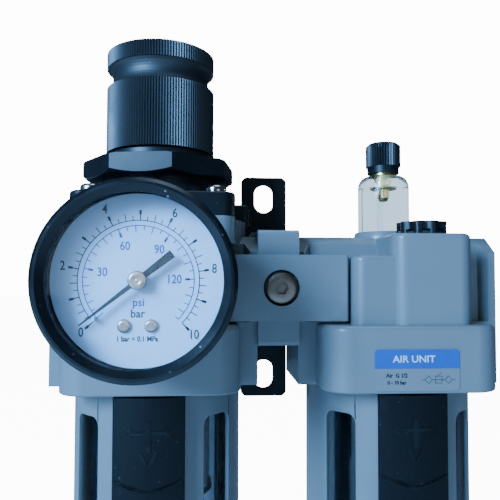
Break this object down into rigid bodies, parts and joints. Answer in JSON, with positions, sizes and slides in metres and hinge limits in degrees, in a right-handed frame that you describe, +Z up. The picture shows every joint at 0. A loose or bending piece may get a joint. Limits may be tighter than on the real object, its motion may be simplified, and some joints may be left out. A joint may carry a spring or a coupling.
{
  "type": "filter regulator lubricator",
  "caption": "Compressed-air filter regulator with a front gauge, joined by a clamped spacer and wall bracket to a lubricator with a sight dome; both carry guarded bowls.",
  "frame": {"origin": "middle of the wall bracket's two slots, on the wall plane", "axes": "+X along the port axis from the filter regulator to the lubricator, -Y towards the front with the gauge, +Z up"},
  "size_m": [0.154, 0.1124, 0.2317],
  "materials": {
    "grey_paint": "satin",
    "black_plastic": "satin",
    "black_paint": "semi-gloss",
    "chrome_screw": "polished",
    "clear_plastic": "clear",
    "brass": "machined",
    "steel": "plain",
    "rubber": "matte",
    "white_dial": "matte",
    "white_filter": "porous",
    "inner_plastic": "moulded",
    "aluminium": "turned",
    "label_film": "printed film"
  },
  "bodies": {
    "unit": {"filter_body": "grey_paint", "bonnet": "black_plastic", "bonnet_screws": "chrome_screw", "panel_nut": "black_plastic", "valve_guide": "inner_plastic", "deflector": "inner_plastic", "filter_element": "white_filter", "baffle": "inner_plastic", "rear_plug": "steel", "gauge_socket": "brass", "gauge_case": "black_paint", "gauge_bezel": "black_paint", "gauge_lens": "clear_plastic", "gauge_dial": "white_dial", "dial_screws": "chrome_screw", "gauge_frame": "brass", "bourdon_tube": "brass", "lubricator_body": "grey_paint", "sight_dome": "clear_plastic", "dome_seal": "rubber", "drip_bushing": "brass", "feed_tube": "clear_plastic", "siphon_tube": "inner_plastic", "siphon_strainer": "brass", "tube_holder": "inner_plastic", "name_label": "label_film", "spacer": "grey_paint", "spacer_seals": "rubber", "clamp_plate": "grey_paint", "wall_bracket": "black_paint", "clamp_screws": "chrome_screw"},
    "adjusting_stem": {"adjusting_screw": "steel"},
    "control_knob": {"knob": "black_plastic"},
    "carrier": {"spring_carrier": "brass", "regulating_spring": "steel"},
    "valve_group": {"diaphragm": "rubber", "diaphragm_plate": "aluminium", "valve": "brass", "valve_spring": "steel"},
    "sector": {"gauge_sector": "brass"},
    "pointer": {"gauge_pinion": "brass", "gauge_pointer": "black_paint"},
    "filter_bowl_unit": {"filter_bowl": "clear_plastic", "filter_bowl_seal": "rubber", "filter_bowl_guard": "grey_paint", "drain_body": "inner_plastic"},
    "filter_lock": {"filter_lock_slide": "black_plastic", "filter_lock_spring": "steel"},
    "drain": {"drain_cock": "black_plastic"},
    "lubricator_bowl_unit": {"lubricator_bowl": "clear_plastic", "lubricator_bowl_seal": "rubber", "lubricator_bowl_guard": "grey_paint", "lubricator_drain": "black_plastic"},
    "lubricator_lock": {"lubricator_lock_slide": "black_plastic", "lubricator_lock_spring": "steel"},
    "drip_cap": {"drip_knob": "black_plastic"},
    "metering_needle": {"drip_needle": "brass"},
    "plug_seal": {"fill_plug_seal": "rubber"},
    "plug": {"fill_plug": "black_plastic"},
    "damper_flap": {"damper": "rubber"}
  },
  "joints": [
    {"name": "knob_turn", "type": "hinge", "parent": "unit", "child": "adjusting_stem", "pos_m": [-0.042, -0.045, 0.06], "axis": [0, 0, -1], "range_deg": [0, 2160]},
    {"name": "knob_lift", "type": "slide", "parent": "adjusting_stem", "child": "control_knob", "axis": [0, 0, 1], "range_m": [0, 0.003]},
    {"name": "carrier_travel", "type": "slide", "parent": "unit", "child": "carrier", "axis": [0, 0, -1], "range_m": [0, 0.009], "deforming": ["regulating_spring"]},
    {"name": "valve_travel", "type": "slide", "parent": "unit", "child": "valve_group", "axis": [0, 0, -1], "range_m": [0, 0.002], "stiffness_N_per_m": 600, "springref_m": -0.002, "deforming": ["valve_spring", "diaphragm"]},
    {"name": "sector_turn", "type": "hinge", "parent": "unit", "child": "sector", "pos_m": [-0.042, -0.096, -0.0097], "axis": [0, -1, 0], "range_deg": [0, 37.5], "stiffness_Nm_per_rad": 0.004},
    {"name": "pointer_turn", "type": "hinge", "parent": "unit", "child": "pointer", "pos_m": [-0.042, -0.096, 0.0023], "axis": [0, 1, 0], "range_deg": [0, 262.5]},
    {"name": "filter_bowl_turn", "type": "hinge", "parent": "unit", "child": "filter_bowl_unit", "pos_m": [-0.042, -0.045, -0.03], "axis": [0, 0, 1], "range_deg": [-45, 45]},
    {"name": "filter_lock_pull", "type": "slide", "parent": "filter_bowl_unit", "child": "filter_lock", "axis": [0, 0, -1], "range_m": [0, 0.005], "stiffness_N_per_m": 250, "springref_m": -0.004, "deforming": ["filter_lock_spring"]},
    {"name": "drain_turn", "type": "hinge", "parent": "filter_bowl_unit", "child": "drain", "pos_m": [-0.042, -0.045, -0.135], "axis": [0, 0, 1], "range_deg": [0, 180]},
    {"name": "lubricator_bowl_turn", "type": "hinge", "parent": "unit", "child": "lubricator_bowl_unit", "pos_m": [0.042, -0.045, -0.03], "axis": [0, 0, 1], "range_deg": [-45, 45]},
    {"name": "lubricator_lock_pull", "type": "slide", "parent": "lubricator_bowl_unit", "child": "lubricator_lock", "axis": [0, 0, -1], "range_m": [0, 0.005], "stiffness_N_per_m": 250, "springref_m": -0.004, "deforming": ["lubricator_lock_spring"]},
    {"name": "drip_knob_turn", "type": "hinge", "parent": "unit", "child": "drip_cap", "pos_m": [0.042, -0.045, 0.05], "axis": [0, 0, 1], "range_deg": [0, 720]},
    {"name": "needle_rise", "type": "slide", "parent": "unit", "child": "metering_needle", "axis": [0, 0, 1], "range_m": [0, 0.002]},
    {"name": "plug_rise", "type": "slide", "parent": "unit", "child": "plug_seal", "axis": [0, 0, 1], "range_m": [0, 0.0045]},
    {"name": "fill_plug_turn", "type": "hinge", "parent": "plug_seal", "child": "plug", "pos_m": [0.05, -0.0634, 0.02], "axis": [0, 0, 1], "range_deg": [0, 1080]},
    {"name": "damper_swing", "type": "hinge", "parent": "unit", "child": "damper_flap", "pos_m": [0.039, -0.045, 0.006], "axis": [0, -1, 0], "range_deg": [0, 50], "stiffness_Nm_per_rad": 0.002}
  ],
  "couplings": [
    {"joint": "knob_turn", "follows": "carrier_travel", "rad_per_m": 4188.8},
    {"joint": "pointer_turn", "follows": "sector_turn", "ratio": 7},
    {"joint": "drip_knob_turn", "follows": "needle_rise", "rad_per_m": 6283.2},
    {"joint": "fill_plug_turn", "follows": "plug_rise", "rad_per_m": 4188.8}
  ]
}
